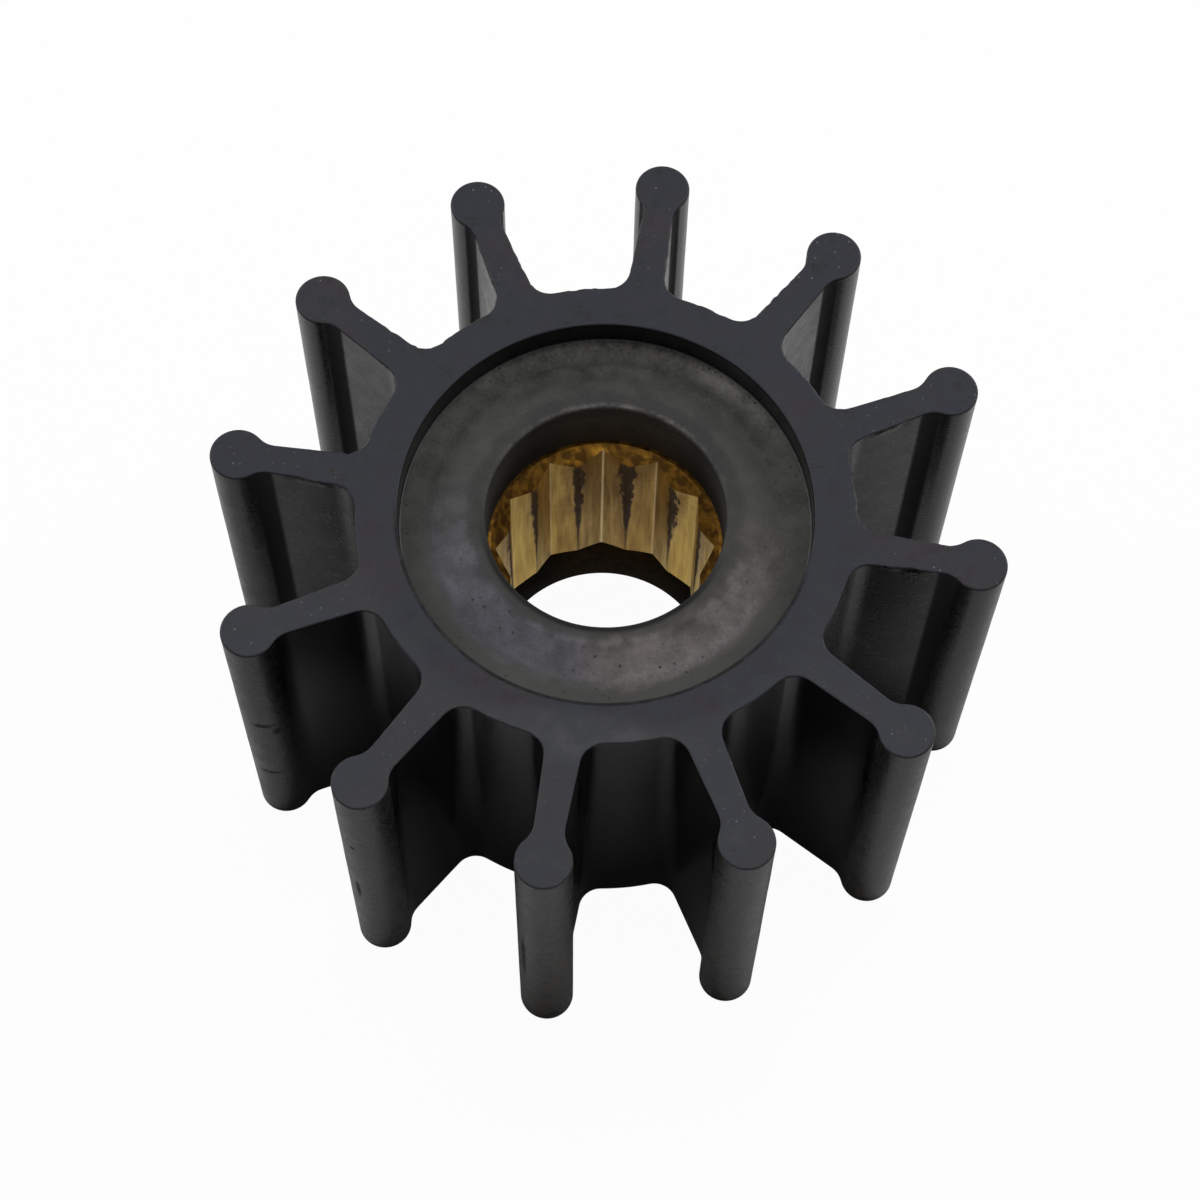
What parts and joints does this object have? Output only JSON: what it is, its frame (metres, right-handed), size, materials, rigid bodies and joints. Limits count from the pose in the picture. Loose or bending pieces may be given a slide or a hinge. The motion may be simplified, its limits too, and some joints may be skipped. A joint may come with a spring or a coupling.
{
  "type": "rubber pump impeller",
  "caption": "Flexible rubber pump impeller: a hub with straight radial vanes, each ending in a round sealing bead, moulded round a brass bush with a twelve-point drive bore.",
  "frame": {"origin": "on the impeller's axis, at its lower end face", "axes": "+Z along the drive shaft's axis, from the lower end face towards the upper; +X along the mid-line of one vane"},
  "size_m": [0.0572, 0.0572, 0.0318],
  "materials": {
    "rubber": "matt moulded black rubber, dusty and lightly scuffed",
    "brass": "machined brass with dark brown tarnish"
  },
  "bodies": {
    "root": {"rubber_impeller": "rubber", "brass_insert": "brass"}
  },
  "joints": []
}
